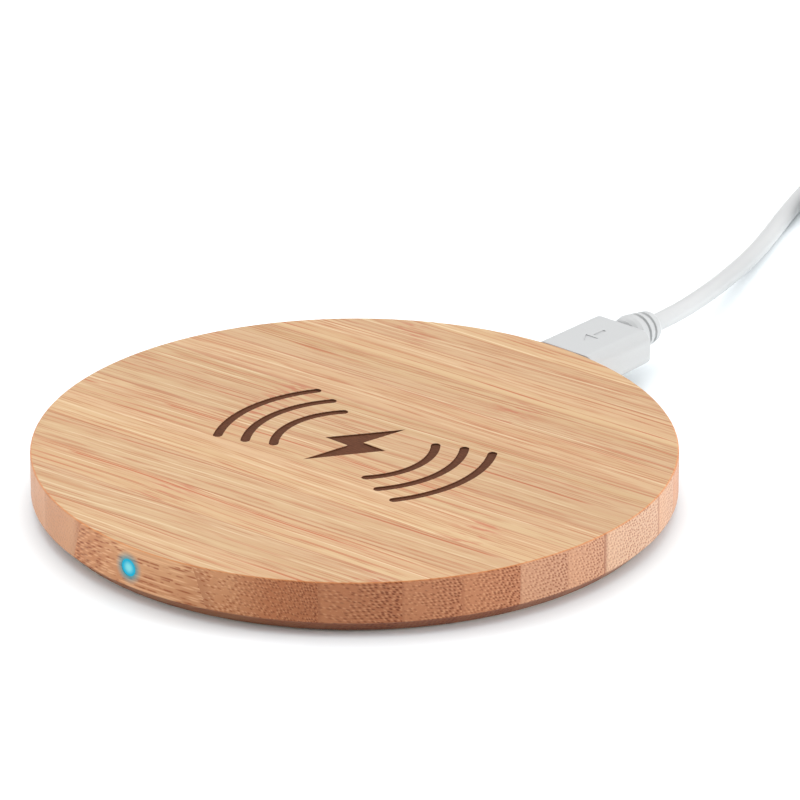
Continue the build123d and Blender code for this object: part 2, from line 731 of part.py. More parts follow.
# USB-A plug: four contacts lying in the insulator's grooves
with BuildPart() as usb_a_contacts:
    with BuildSketch(Plane.XY.offset(insulator_bottom + insulator_height - 0.25)):
        with Locations((usb_a_x, (shell_back + shell_front + 1.5) / 2)):
            with GridLocations(2.3, 0, 4, 1):
                Rectangle(1.0, shell_back - shell_front - 1.5)
    extrude(amount=0.25)
usb_a_contacts.part.label = "usb_a_contacts"
export_step(usb_a_contacts.part, "parts/usb_a_contacts.step")
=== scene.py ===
"""Visual model of the wireless charging pad: its cable, its materials and the studio around it."""

import functools
import math

import bpy
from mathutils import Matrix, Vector


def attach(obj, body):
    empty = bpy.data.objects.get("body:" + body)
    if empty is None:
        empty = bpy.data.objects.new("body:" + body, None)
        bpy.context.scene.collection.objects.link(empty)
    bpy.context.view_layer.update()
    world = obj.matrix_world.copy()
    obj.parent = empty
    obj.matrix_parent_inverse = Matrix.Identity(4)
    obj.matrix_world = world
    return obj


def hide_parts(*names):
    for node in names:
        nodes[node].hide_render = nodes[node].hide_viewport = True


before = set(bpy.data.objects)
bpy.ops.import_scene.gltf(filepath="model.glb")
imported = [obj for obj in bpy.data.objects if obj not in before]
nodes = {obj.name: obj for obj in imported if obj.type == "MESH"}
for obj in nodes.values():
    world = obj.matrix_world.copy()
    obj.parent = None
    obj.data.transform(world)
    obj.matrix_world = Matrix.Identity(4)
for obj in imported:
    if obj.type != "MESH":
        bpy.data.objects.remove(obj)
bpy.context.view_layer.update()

# The camera: degrees round from the pad's front, degrees up, and how far beside the top's centre it aims, in metres
CAMERA_TURN = 42.0
CAMERA_LIFT = 24.08
CAMERA_LENS = 292.0
AIM_RIGHT = 0.00701
AIM_UP = 0.0068

# The object's own measures, in metres
PAD_TOP = 0.009
LIGHT_PLACE = (-0.00045, -0.050, 0.00545)
GRAIN_ANGLE = math.radians(3.8)
CABLE_DIAMETER = 0.003
COIL_CENTRE = (-0.0058, 0.1620)
COIL_RADII = (0.013, 0.016, 0.019, 0.022)
LAYER_ONE = 0.0019
LAYER_TWO = 0.0049
FLOOR_REACH = 4.0


def rgb(red, green, blue):
    """A colour given as screen values from 0 to 255, as the linear colour that nodes use."""
    parts = [value / 255 for value in (red, green, blue)]
    return (*(((part + 0.055) / 1.055) ** 2.4 if part > 0.04045 else part / 12.92 for part in parts), 1.0)


class Look:
    """A material made of nodes around one principled shader. Lengths in its patterns are in millimetres."""

    def __init__(self, name, colour=(200, 200, 200), rough=0.5, **inputs):
        self.material = bpy.data.materials.new(name)
        self.material.use_nodes = True
        self.tree = self.material.node_tree
        self.tree.nodes.clear()
        self.shader = self.tree.nodes.new("ShaderNodeBsdfPrincipled")
        output = self.tree.nodes.new("ShaderNodeOutputMaterial")
        self.tree.links.new(self.shader.outputs[0], output.inputs["Surface"])
        self.material.diffuse_color = rgb(*colour)
        self.set("Base Color", rgb(*colour))
        self.set("Roughness", rough)
        for label, value in inputs.items():
            self.set(label.replace("_", " "), value)
        coords = self.tree.nodes.new("ShaderNodeTexCoord")
        self.normal = coords.outputs["Normal"]
        self.place = self.vector("SCALE", coords.outputs["Object"], scale=1000.0)

    def set(self, label, value):
        """Give an input of the shader a value or a link."""
        self.put(self.shader.inputs[label], value)

    def put(self, socket, value):
        if isinstance(value, bpy.types.NodeSocket):
            self.tree.links.new(value, socket)
        else:
            socket.default_value = value

    def math(self, operation, *values, clamp=False):
        node = self.tree.nodes.new("ShaderNodeMath")
        node.operation = operation
        node.use_clamp = clamp
        for socket, value in zip(node.inputs, values):
            self.put(socket, value)
        return node.outputs[0]

    def vector(self, operation, *values, scale=None, value_out=False):
        node = self.tree.nodes.new("ShaderNodeVectorMath")
        node.operation = operation
        for socket, value in zip(node.inputs, values):
            self.put(socket, value)
        if scale is not None:
            self.put(node.inputs["Scale"], scale)
        return node.outputs["Value"] if value_out else node.outputs["Vector"]

    def times(self, *values):
        """The product of the values."""
        return functools.reduce(lambda total, value: self.math("MULTIPLY", total, value), values)

    def plus(self, *values):
        """The sum of the values."""
        return functools.reduce(lambda total, value: self.math("ADD", total, value), values)

    def minus(self, first, second):
        return self.math("SUBTRACT", first, second)

    def split(self, vector):
        node = self.tree.nodes.new("ShaderNodeSeparateXYZ")
        self.put(node.inputs[0], vector)
        return node.outputs[0], node.outputs[1], node.outputs[2]

    def join(self, x=0.0, y=0.0, z=0.0):
        node = self.tree.nodes.new("ShaderNodeCombineXYZ")
        for socket, value in zip(node.inputs, (x, y, z)):
            self.put(socket, value)
        return node.outputs[0]

    def span(self, value, low, high, to_low=0.0, to_high=1.0, smooth=False):
        """value mapped from low..high to to_low..to_high and held at the ends."""
        node = self.tree.nodes.new("ShaderNodeMapRange")
        node.interpolation_type = "SMOOTHSTEP" if smooth else "LINEAR"
        for socket, given in zip(node.inputs, (value, low, high, to_low, to_high)):
            self.put(socket, given)
        return node.outputs[0]

    def mix(self, factor, first, second, blend="MIX"):
        node = self.tree.nodes.new("ShaderNodeMix")
        node.data_type = "RGBA"
        node.blend_type = blend
        self.put(node.inputs["Factor"], factor)
        self.put(node.inputs[6], first)
        self.put(node.inputs[7], second)
        return node.outputs[2]

    def noise(self, vector, scale, detail=2.0, roughness=0.5, colour=False):
        node = self.tree.nodes.new("ShaderNodeTexNoise")
        self.put(node.inputs["Vector"], vector)
        self.put(node.inputs["Scale"], scale)
        self.put(node.inputs["Detail"], detail)
        self.put(node.inputs["Roughness"], roughness)
        return node.outputs["Color" if colour else "Fac"]

    def cells(self, vector, scale, randomness=1.0, feature="F1", dimensions="3D"):
        node = self.tree.nodes.new("ShaderNodeTexVoronoi")
        node.feature = feature
        node.voronoi_dimensions = dimensions
        self.put(node.inputs["Vector"], vector)
        self.put(node.inputs["Scale"], scale)
        self.put(node.inputs["Randomness"], randomness)
        return node.outputs["Distance"], node.outputs.get("Color")

    def bump(self, height, depth, strength):
        """Relief of the given depth in millimetres."""
        node = self.tree.nodes.new("ShaderNodeBump")
        self.put(node.inputs["Strength"], strength)
        self.put(node.inputs["Distance"], depth / 1000)
        self.put(node.inputs["Height"], height)
        self.set("Normal", node.outputs[0])


# Camera

azimuth = math.radians(CAMERA_TURN)
elevation = math.radians(CAMERA_LIFT)
front = Vector((math.sin(azimuth), -math.cos(azimuth), 0.0))
back = front * math.cos(elevation) + Vector((0.0, 0.0, math.sin(elevation)))
right = Vector((math.cos(azimuth), math.sin(azimuth), 0.0))
up = back.cross(right)
top_centre = Vector((0.0, 0.0, PAD_TOP))
eye = top_centre + back
aim = top_centre + right * AIM_RIGHT + up * AIM_UP
camera_data = bpy.data.cameras.new("camera")
camera_data.lens = CAMERA_LENS
camera_data.sensor_width = 36.0
camera_data.clip_start = 0.01
camera_data.clip_end = 50.0
camera = bpy.data.objects.new("camera", camera_data)
camera.location = eye
camera.rotation_euler = (aim - eye).to_track_quat("-Z", "Y").to_euler()
bpy.context.scene.collection.objects.link(camera)
bpy.context.scene.camera = camera

# Cable: one spline from the micro plug through the put-away coil to the USB-A plug

lead_route = (
    (0.0, 0.0720, 0.0061),
    (0.0, 0.0768, 0.0061),
    (-0.0023, 0.0865, 0.0052),
    (-0.0070, 0.0995, 0.0034),
    (-0.0135, 0.1165, 0.0016),
    (-0.0218, 0.1360, 0.00155),
    (-0.0267, 0.1510, 0.0018),
)
tail_route = (
    (-0.0199, 0.1451, 0.0049),
    (-0.0270, 0.1521, 0.0051),
    (-0.0311, 0.1620, 0.0047),
    (-0.0299, 0.1732, 0.0032),
    (-0.0233, 0.1828, 0.0018),
    (-0.0134, 0.1885, 0.00155),
    (-0.0019, 0.1897, 0.0015),
    (0.0096, 0.1866, 0.0015),
    (0.0197, 0.1805, 0.0015),
    (0.0269, 0.1715, 0.0017),
    (0.0304, 0.1610, 0.0026),
    (0.0312, 0.1505, 0.0040),
    (0.0312, 0.1425, 0.0040),
)
POINTS_PER_TURN = 24
TURNS = tuple(reversed(COIL_RADII)) + COIL_RADII
LAST_TURN_POINTS = 20
STEP_OUT_FROM = 0.72


def coil_route():
    """The turns, clockwise from where the lead arrives: inwards on the floor, then outwards on top."""
    points = []
    for turn, radius in enumerate(TURNS):
        following = TURNS[min(turn + 1, len(TURNS) - 1)]
        rising = turn == len(COIL_RADII) - 1
        for step in range(POINTS_PER_TURN if turn < len(TURNS) - 1 else LAST_TURN_POINTS):
            part = step / POINTS_PER_TURN
            ease = max(0.0, (part - STEP_OUT_FROM) / (1 - STEP_OUT_FROM))
            ease = ease * ease * (3 - 2 * ease)
            angle = math.pi - 2 * math.pi * part
            reach = radius + (following - radius) * ease
            height = LAYER_ONE if turn < len(COIL_RADII) else LAYER_TWO
            if rising:
                height += (LAYER_TWO - LAYER_ONE) * ease
            points.append(
                (COIL_CENTRE[0] + reach * math.cos(angle), COIL_CENTRE[1] + reach * math.sin(angle), height)
            )
    return points


route = list(lead_route) + coil_route() + list(tail_route)
cable_curve = bpy.data.curves.new("charge_cable", "CURVE")
cable_curve.dimensions = "3D"
spline = cable_curve.splines.new("NURBS")
spline.points.add(len(route) - 1)
for point, place in zip(spline.points, route):
    point.co = (*place, 1.0)
    point.radius = CABLE_DIAMETER / 2
spline.order_u = 3
spline.use_endpoint_u = True
spline.resolution_u = 8
cable_curve.bevel_depth = 1.0
cable_curve.bevel_resolution = 6
cable_curve.use_fill_caps = True
cable = bpy.data.objects.new("charge_cable", cable_curve)
bpy.context.scene.collection.objects.link(cable)
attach(cable, "cable")
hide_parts("cable_lead", "cable_coil", "cable_tail")

# Floor, light and background

floor_look = Look("studio_floor", colour=(247, 252, 254), rough=0.9, Specular_IOR_Level=0.0)
floor_mesh = bpy.data.meshes.new("studio_floor")
floor_corners = [(x * FLOOR_REACH, y * FLOOR_REACH, 0) for x, y in ((-1, -1), (1, -1), (1, 1), (-1, 1))]
floor_mesh.from_pydata(floor_corners, [], [(0, 1, 2, 3)])
floor_mesh.materials.append(floor_look.material)
floor = bpy.data.objects.new("studio_floor", floor_mesh)
bpy.context.scene.collection.objects.link(floor)


def studio_world(zenith, horizon, front_dim, front):
    """A white dome, brighter overhead, dimmer on the side it is looked at from."""
    world = bpy.data.worlds.new("studio")
    world.use_nodes = True
    tree = world.node_tree
    background = tree.nodes["Background"]
    background.inputs["Color"].default_value = (0.985, 0.99, 1.0, 1.0)
    coords = tree.nodes.new("ShaderNodeTexCoord")
    split = tree.nodes.new("ShaderNodeSeparateXYZ")
    tree.links.new(coords.outputs["Generated"], split.inputs[0])
    height = tree.nodes.new("ShaderNodeMapRange")
    for socket, value in zip(height.inputs[1:], (0.0, 0.9, horizon, zenith)):
        socket.default_value = value
    tree.links.new(split.outputs[2], height.inputs[0])
    facing = tree.nodes.new("ShaderNodeVectorMath")
    facing.operation = "DOT_PRODUCT"
    tree.links.new(coords.outputs["Generated"], facing.inputs[0])
    facing.inputs[1].default_value = front
    dim = tree.nodes.new("ShaderNodeMapRange")
    for socket, value in zip(dim.inputs[1:], (0.0, 1.0, 1.0, front_dim)):
        socket.default_value = value
    tree.links.new(facing.outputs["Value"], dim.inputs[0])
    product = tree.nodes.new("ShaderNodeMath")
    product.operation = "MULTIPLY"
    tree.links.new(height.outputs[0], product.inputs[0])
    tree.links.new(dim.outputs[0], product.inputs[1])
    tree.links.new(product.outputs[0], background.inputs["Strength"])
    bpy.context.scene.world = world


studio_world(zenith=1.68, horizon=0.42, front_dim=0.2, front=front)


def area_light(name, turn_deg, lift_deg, distance, size, power):
    """A square lamp aimed at the pad, placed by degrees round from the pad's front and degrees up."""
    turn, lift = math.radians(turn_deg), math.radians(lift_deg)
    data = bpy.data.lights.new(name, "AREA")
    data.shape = "SQUARE"
    data.size = size
    data.energy = power
    lamp = bpy.data.objects.new(name, data)
    direction = Vector((math.sin(turn) * math.cos(lift), -math.cos(turn) * math.cos(lift), math.sin(lift)))
    lamp.location = direction * distance
    lamp.rotation_euler = (-direction).to_track_quat("-Z", "Y").to_euler()
    bpy.context.scene.collection.objects.link(lamp)
    return lamp


area_light("key_light", CAMERA_TURN + 190.0, 52.0, 1.8, 1.4, 8.0)
# The low lamps light the rim and stay out of the reflections in the top
for lamp in (
    area_light("right_light", CAMERA_TURN + 82.0, 9.5, 1.5, 0.5, 20.0),
    area_light("left_light", CAMERA_TURN - 84.0, 9.5, 1.5, 0.5, 10.5),
):
    lamp.visible_glossy = False
scene = bpy.context.scene
scene.view_settings.view_transform = "Standard"
scene.view_settings.look = "None"

# Bamboo: strips glued side by side along the grain, each with its bundles of fibres

# Each strip: its edge across the grain, how pale its cut end is and how dark the joint at that edge is
STRIPS = (
    (-60.0, 0.0, 0.0),
    (-48.25, 0.0, 0.6),
    (-42.45, 0.04, 0.3),
    (-34.6, 0.08, 0.3),
    (-27.5, 0.1, 0.4),
    (-19.1, 0.3, 0.3),
    (-10.8, 0.32, 0.3),
    (-3.1, 0.56, 1.0),
    (12.9, 0.5, 0.8),
    (20.9, 0.3, 0.4),
    (28.9, 0.5, 0.5),
    (36.5, 0.2, 0.4),
    (44.0, 0.4, 0.4),
)
# Slanted front strips end here, across the grain
FRONT_STRIPS = (-46.5, -45.0)
# Steps that keep the patterns of neighbouring strips and of neighbouring fibres unrelated
STRIPS_APART = 61.0
FIBRES_APART = 57.0
bamboo = Look("bamboo_wood", colour=(206, 170, 132), rough=0.45, Specular_IOR_Level=0.2, Coat_Roughness=0.35)
x, y, z = bamboo.split(bamboo.place)
cos_g, sin_g = math.cos(GRAIN_ANGLE), math.sin(GRAIN_ANGLE)
along = bamboo.plus(bamboo.times(x, cos_g), bamboo.times(y, sin_g))
across = bamboo.minus(bamboo.times(y, cos_g), bamboo.times(x, sin_g))

# Which strip a point lies in: the joints between the front strips are tilted
tilt = bamboo.span(across, *FRONT_STRIPS, 0.068, 0.0)
lean = bamboo.times(bamboo.span(across, *FRONT_STRIPS, 0.09, 0.0), bamboo.minus(z, 3.0))
placed = bamboo.plus(bamboo.math("MULTIPLY_ADD", along, tilt, across), lean)
beyond = [bamboo.math("GREATER_THAN", placed, start) for start, _, _ in STRIPS[1:]]


def per_strip(values):
    """The value that belongs to the strip a point lies in."""
    total = values[0]
    for step, before, after in zip(beyond, values, values[1:]):
        total = bamboo.math("MULTIPLY_ADD", step, after - before, total)
    return total


# A tone for each strip, then its values from the table and how far across it a point lies
strip_tone = per_strip([((7 * index + 3) % 13) / 13 for index in range(len(STRIPS))])
strip_start = per_strip([start for start, _, _ in STRIPS])
pale = per_strip([pale for _, pale, _ in STRIPS])
joint = per_strip([joint for _, _, joint in STRIPS])
from_joint = bamboo.minus(placed, strip_start)
inside = bamboo.span(from_joint, 0.0, 7.7)
ragged = bamboo.noise(bamboo.join(bamboo.times(along, 0.1), 0.0, bamboo.times(z, 0.8)), 1.0, 2.0)
joint_width = bamboo.span(joint, 0.3, 1.0, 0.2, 0.9)
joint_line = bamboo.span(bamboo.minus(from_joint, bamboo.times(ragged, 0.25)), 0.0, joint_width, 1.0, 0.0)

# Fibres run a little differently in each strip
slow = bamboo.noise(bamboo.join(bamboo.times(along, 0.018), strip_tone, 0.0), 1.0, 1.0)
slow = bamboo.times(bamboo.minus(slow, 0.5), 3.0)
skew = bamboo.times(along, bamboo.span(strip_tone, 0.0, 1.0, -0.018, 0.02))
lateral = bamboo.plus(bamboo.plus(across, skew), bamboo.plus(slow, bamboo.times(strip_tone, STRIPS_APART)))


def strands(pitch, width, power, reach, seed, low, high):
    """Long thin lines along the grain, each with its own strength, fading in and out along its length."""
    node = bamboo.tree.nodes.new("ShaderNodeTexVoronoi")
    node.voronoi_dimensions = "1D"
    bamboo.put(node.inputs["W"], bamboo.plus(lateral, seed))
    bamboo.put(node.inputs["Scale"], 1.0 / pitch)
    pick = bamboo.split(node.outputs["Color"])[0]
    off_centre = bamboo.times(node.outputs["Distance"], pitch)
    line = bamboo.span(off_centre, width * 0.35, width, 1.0, 0.0, smooth=True)
    fade_place = bamboo.join(bamboo.math("DIVIDE", along, reach), bamboo.times(pick, FIBRES_APART), seed)
    fade = bamboo.span(bamboo.noise(fade_place, 1.0, 2.0), low, high)
    return bamboo.times(line, bamboo.math("POWER", pick, power), fade)


strong = strands(2.1, 0.25, 1.2, 26.0, 11.0, 0.46, 0.56)
medium = strands(0.8, 0.18, 1.0, 18.0, 37.0, 0.46, 0.56)
fine = strands(0.5, 0.2, 0.8, 13.0, 71.0, 0.42, 0.56)
bright = strands(1.0, 0.24, 1.2, 20.0, 93.0, 0.45, 0.58)
band_place = bamboo.join(bamboo.times(along, 0.02), lateral, bamboo.times(z, 0.2))
bands = bamboo.noise(band_place, 0.55, 2.0, 0.55)
tints = bamboo.noise(band_place, 0.22, 1.0, 0.5)

# The strip whose dots stand closer together, because it is cut across at a slant
DIAGONAL_STRIP = 1


def fibre_bundles():
    """Bundles of fibres: dark dots and pale flecks in the cut ends, and where they break up into dashes."""
    tighter = per_strip([2.4 if index == DIAGONAL_STRIP else 1.0 for index in range(len(STRIPS))])
    leaning = bamboo.math("MULTIPLY_ADD", lateral, tighter, bamboo.times(z, 0.5))
    dot_place = bamboo.join(leaning, bamboo.plus(z, bamboo.times(slow, 0.4)), 0.0)
    dot_distance, dot_colour = bamboo.cells(dot_place, 1.8, randomness=0.75, dimensions="2D")
    dot_pick = bamboo.split(dot_colour)[0]
    beside = bamboo.vector("ADD", dot_place, (0.25, -0.22, 0.0))
    fleck_distance, _ = bamboo.cells(beside, 1.8, randomness=0.75, dimensions="2D")
    crowding = bamboo.plus(bamboo.span(inside, 0.0, 0.95, 0.62, 1.12), bamboo.times(pale, 0.7))
    dot_present = bamboo.span(bamboo.minus(crowding, dot_pick), -0.04, 0.1)
    dash_place = bamboo.join(bamboo.times(along, 0.6), bamboo.times(dot_pick, FIBRES_APART), 0.0)
    dashes = bamboo.span(bamboo.noise(dash_place, 1.0, 1.0), 0.42, 0.54)
    dot = bamboo.times(bamboo.span(dot_distance, 0.12, 0.42, 1.0, 0.0, smooth=True), dot_present)
    fleck = bamboo.times(bamboo.span(fleck_distance, 0.10, 0.38, 1.0, 0.0, smooth=True), dot_present)
    return dot, fleck, dashes


dot, fleck, dashes = fibre_bundles()

# How much of the surface is rim, and how much of that is cut end
up_facing = bamboo.math("ABSOLUTE", bamboo.split(bamboo.normal)[2])
rim = bamboo.span(up_facing, 0.75, 0.95, 1.0, 0.0, smooth=True)
facing = bamboo.vector("DOT_PRODUCT", bamboo.normal, (cos_g, sin_g, 0.0), value_out=True)
facing = bamboo.math("ABSOLUTE", facing)
cut_end = bamboo.times(bamboo.span(facing, 0.16, 0.4), rim)

# Where each numbered strip crosses a node of the cane, in mm along the grain
KNUCKLES = {2: 31.0, 3: -12.0, 5: 34.0, 7: -19.5, 9: 12.0, 11: -20.0}
NO_KNUCKLE = 58.0


def knuckle_marks():
    """Knuckles, where a strip crosses a node of the cane: short reddish dashes."""
    knuckle_at = per_strip([KNUCKLES.get(index, NO_KNUCKLE) for index in range(len(STRIPS))])
    knuckle_off = bamboo.math("ABSOLUTE", bamboo.minus(along, knuckle_at))
    knuckle = bamboo.span(knuckle_off, 0.6, 6.0, 1.0, 0.0, smooth=True)
    mark_place = bamboo.join(bamboo.times(along, 0.16), bamboo.times(lateral, 1.25), 5.0)
    marks = bamboo.span(bamboo.noise(mark_place, 1.0, 2.0), 0.52, 0.60)
    return bamboo.times(knuckle, marks)


def top_colour():
    """Colour along the grain, with its fine lines, pale streaks and joints."""
    colour = bamboo.mix(bamboo.span(bands, 0.34, 0.66), rgb(193, 161, 118), rgb(184, 147, 103))
    colour = bamboo.mix(bamboo.span(tints, 0.35, 0.65, 0.0, 0.4), colour, rgb(188, 147, 112))
    colour = bamboo.mix(fine, colour, rgb(166, 110, 66))
    colour = bamboo.mix(medium, colour, rgb(168, 98, 52))
    colour = bamboo.mix(bamboo.times(bright, 0.8), colour, rgb(212, 188, 150))
    colour = bamboo.mix(strong, colour, rgb(170, 90, 44))
    colour = bamboo.mix(bamboo.times(knuckle_marks(), 0.75), colour, rgb(172, 96, 60))
    shade = bamboo.span(strip_tone, 0.0, 1.0, 0.94, 1.05)
    colour = bamboo.mix(1.0, colour, bamboo.join(shade, shade, shade), blend="MULTIPLY")
    colour = bamboo.mix(bamboo.times(joint_line, 0.55), colour, rgb(158, 88, 44))
    return colour


def rim_colour():
    """Colour of the rim: with the grain, then cut across it, paler in the strips towards the port, with painted
    shade on the lower chamfer.
    """
    side_colour = bamboo.mix(bamboo.span(bands, 0.3, 0.7), rgb(196, 149, 108), rgb(180, 126, 88))
    # The rim's front left is plain: paler, with weaker dots
    plain = bamboo.times(bamboo.span(along, -17.0, -14.5, 1.0, 0.0), bamboo.span(strip_start, -52.0, -50.0))
    plain = bamboo.times(plain, bamboo.span(across, -20.0, -10.0, 1.0, 0.0))
    dash = bamboo.times(dot, dashes, bamboo.span(plain, 0.0, 1.0, 1.0, 0.25))
    rim_fleck = bamboo.times(fleck, bamboo.span(plain, 0.0, 1.0, 1.0, 0.3))
    side_colour = bamboo.mix(bamboo.times(joint_line, bamboo.times(joint, 0.6)), side_colour, rgb(140, 78, 50))
    side_colour = bamboo.mix(bamboo.times(rim_fleck, 0.6), side_colour, rgb(214, 168, 128))
    side_colour = bamboo.mix(bamboo.times(dash, 0.8), side_colour, rgb(138, 70, 42))
    end_colour = bamboo.mix(inside, rgb(172, 108, 70), rgb(158, 94, 60))
    mottle = bamboo.noise(bamboo.join(across, z, 0.0), 2.2, 3.0, 0.6)
    end_colour = bamboo.mix(bamboo.span(mottle, 0.45, 0.75, 0.0, 0.35), end_colour, rgb(189, 123, 84))
    end_colour = bamboo.mix(pale, end_colour, rgb(197, 176, 152))
    fleck_colour = bamboo.mix(pale, rgb(200, 144, 102), rgb(222, 192, 166))
    end_colour = bamboo.mix(bamboo.times(rim_fleck, 0.52), end_colour, fleck_colour)
    dot_depth = bamboo.times(bamboo.span(inside, 0.0, 0.9, 0.35, 0.88), bamboo.span(pale, 0.0, 0.6, 1.0, 0.75))
    bundle_colour = bamboo.mix(pale, rgb(104, 50, 28), rgb(132, 74, 50))
    end_colour = bamboo.mix(bamboo.times(dot, dot_depth), end_colour, bundle_colour)
    end_colour = bamboo.mix(bamboo.times(joint_line, bamboo.times(joint, 0.7)), end_colour, rgb(120, 62, 40))
    colour = bamboo.mix(cut_end, side_colour, end_colour)
    colour = bamboo.mix(bamboo.times(plain, 0.5), colour, rgb(190, 152, 120))
    # Painted shade: dark lower edge, the downward-facing chamfer below about 2.4 mm darkened, with a ragged upper
    # boundary
    painted_chamfer_shade = bamboo.span(bamboo.plus(z, bamboo.times(ragged, 0.25)), 2.35, 2.65, 1.0, 0.0)
    colour = bamboo.mix(bamboo.times(painted_chamfer_shade, 0.62), colour, rgb(92, 38, 20))
    return colour


colour = bamboo.mix(rim, top_colour(), rim_colour())

# Painted highlight: a reddish line where the top turns into the rim
painted_edge_highlight = bamboo.times(bamboo.span(up_facing, 0.5, 0.75), bamboo.span(up_facing, 0.88, 0.98, 1.0, 0.0))
painted_edge_highlight = bamboo.times(painted_edge_highlight, bamboo.span(z, 8.3, 8.5))
colour = bamboo.mix(bamboo.times(painted_edge_highlight, 0.55), colour, rgb(198, 118, 60))

# Burnt mark: below the top, well inside the rim
from_axis = bamboo.vector("LENGTH", bamboo.join(x, y, 0.0), value_out=True)
sunk = bamboo.times(bamboo.span(z, 8.99, 8.88, 0.0, 1.0), bamboo.span(z, 8.0, 8.2))
sunk = bamboo.times(sunk, bamboo.span(from_axis, 40.0, 40.5, 1.0, 0.0))
burn_place = bamboo.join(bamboo.times(along, 0.15), across, 0.0)
charring = bamboo.span(bamboo.noise(burn_place, 5.0, 3.0, 0.6), 0.3, 0.7)
burnt = bamboo.mix(charring, rgb(74, 42, 26), rgb(104, 62, 40))
colour = bamboo.mix(sunk, colour, burnt)
bamboo.set("Coat Weight", bamboo.span(bamboo.math("MAXIMUM", sunk, rim), 0.0, 1.0, 0.16, 0.0))

# Glow of the status light in the wood around it
lamp_place = tuple(value * 1000 for value in LIGHT_PLACE)
lamp_distance = bamboo.vector("DISTANCE", bamboo.place, lamp_place, value_out=True)
glow = bamboo.math("POWER", bamboo.span(lamp_distance, 1.3, 2.8, 1.0, 0.0), 1.3)
colour = bamboo.mix(bamboo.times(glow, 0.9), colour, rgb(16, 92, 96))
bamboo.set("Base Color", colour)
bamboo.set("Emission Color", rgb(20, 150, 170))
bamboo.set("Emission Strength", bamboo.times(glow, 0.5))
relief = bamboo.minus(bamboo.times(bands, 0.6), bamboo.plus(medium, bamboo.times(dot, rim)))
bamboo.bump(relief, 0.04, 0.5)
wood_rough = bamboo.span(bands, 0.3, 0.7, 0.42, 0.52)
bamboo.set("Roughness", bamboo.math("MAXIMUM", wood_rough, bamboo.times(sunk, 0.9)))


def simple(name, colour, rough, second, scale, depth, stretch=(1.0, 1.0, 1.0), **inputs):
    """A moulded or rolled surface: two close tones and a fine relief."""
    look = Look(name, colour=colour, rough=rough, **inputs)
    spot = look.vector("MULTIPLY", look.place, stretch)
    grain = look.noise(spot, scale, 4.0, 0.6)
    look.set("Base Color", look.mix(look.span(grain, 0.35, 0.65), rgb(*colour), rgb(*second)))
    look.set("Roughness", look.span(grain, 0.3, 0.7, rough * 0.9, min(1.0, rough * 1.12)))
    look.bump(grain, depth, 0.6)
    return look


def weave(look, along_thread, across_thread, pitch):
    """Height of a plain weave, 0 to 1."""
    first = look.math("SINE", look.times(along_thread, math.pi / pitch))
    second = look.math("SINE", look.times(across_thread, math.pi / pitch))
    return look.math("MULTIPLY_ADD", look.times(first, second), 0.5, 0.5)


def scratched(look, colour, second, worn, depth):
    """A moulded or plated face with a fine grain and a few long hairline scratches."""
    grain = look.noise(look.place, 7.0, 4.0, 0.6)
    cloud = look.noise(look.place, 0.12, 2.0)
    across_lines = look.noise(look.vector("MULTIPLY", look.place, (0.25, 6.0, 1.0)), 1.0, 2.0)
    down_lines = look.noise(look.vector("MULTIPLY", look.place, (5.0, 0.2, 1.0)), 1.0, 2.0)
    hair = (look.span(across_lines, 0.70, 0.76), look.span(down_lines, 0.71, 0.77))
    hair = look.math("ADD", *hair, clamp=True)
    base = look.mix(look.math("MULTIPLY_ADD", grain, 0.5, look.times(cloud, 0.5)), rgb(*colour), rgb(*second))
    look.set("Base Color", look.mix(look.times(hair, 0.5), base, rgb(*worn)))
    look.bump(look.minus(grain, look.times(hair, 0.6)), depth, 0.7)
    return grain


def cover_plastic():
    """Underside cover: dark moulding with a fine grain and a few scratches."""
    look = Look("moulded_cover", colour=(40, 37, 35), rough=0.6)
    cover_grain = scratched(look, (34, 32, 30), (50, 47, 45), (86, 82, 78), 0.04)
    look.set("Roughness", look.span(cover_grain, 0.3, 0.7, 0.5, 0.72))
    return look


def rubber():
    """Feet: matt rubber with fine pits and dust."""
    look = Look("foot_rubber", colour=(44, 43, 42), rough=0.85)
    pits, _ = look.cells(look.place, 4.5)
    dust = look.noise(look.place, 1.3, 4.0, 0.65)
    look.set("Base Color", look.mix(look.span(dust, 0.45, 0.75, 0.0, 0.8), rgb(38, 37, 36), rgb(84, 81, 77)))
    look.set("Roughness", look.span(dust, 0.3, 0.7, 0.78, 0.95))
    look.bump(look.span(pits, 0.0, 0.5), 0.05, 0.7)
    return look


def steel():
    """Screws and plug shells: bright plating."""
    look = Look("plated_steel", colour=(176, 178, 182), rough=0.26, Metallic=1.0)
    steel_grain = scratched(look, (150, 152, 158), (196, 198, 202), (112, 112, 116), 0.008)
    look.set("Roughness", look.span(steel_grain, 0.3, 0.7, 0.2, 0.38))
    return look


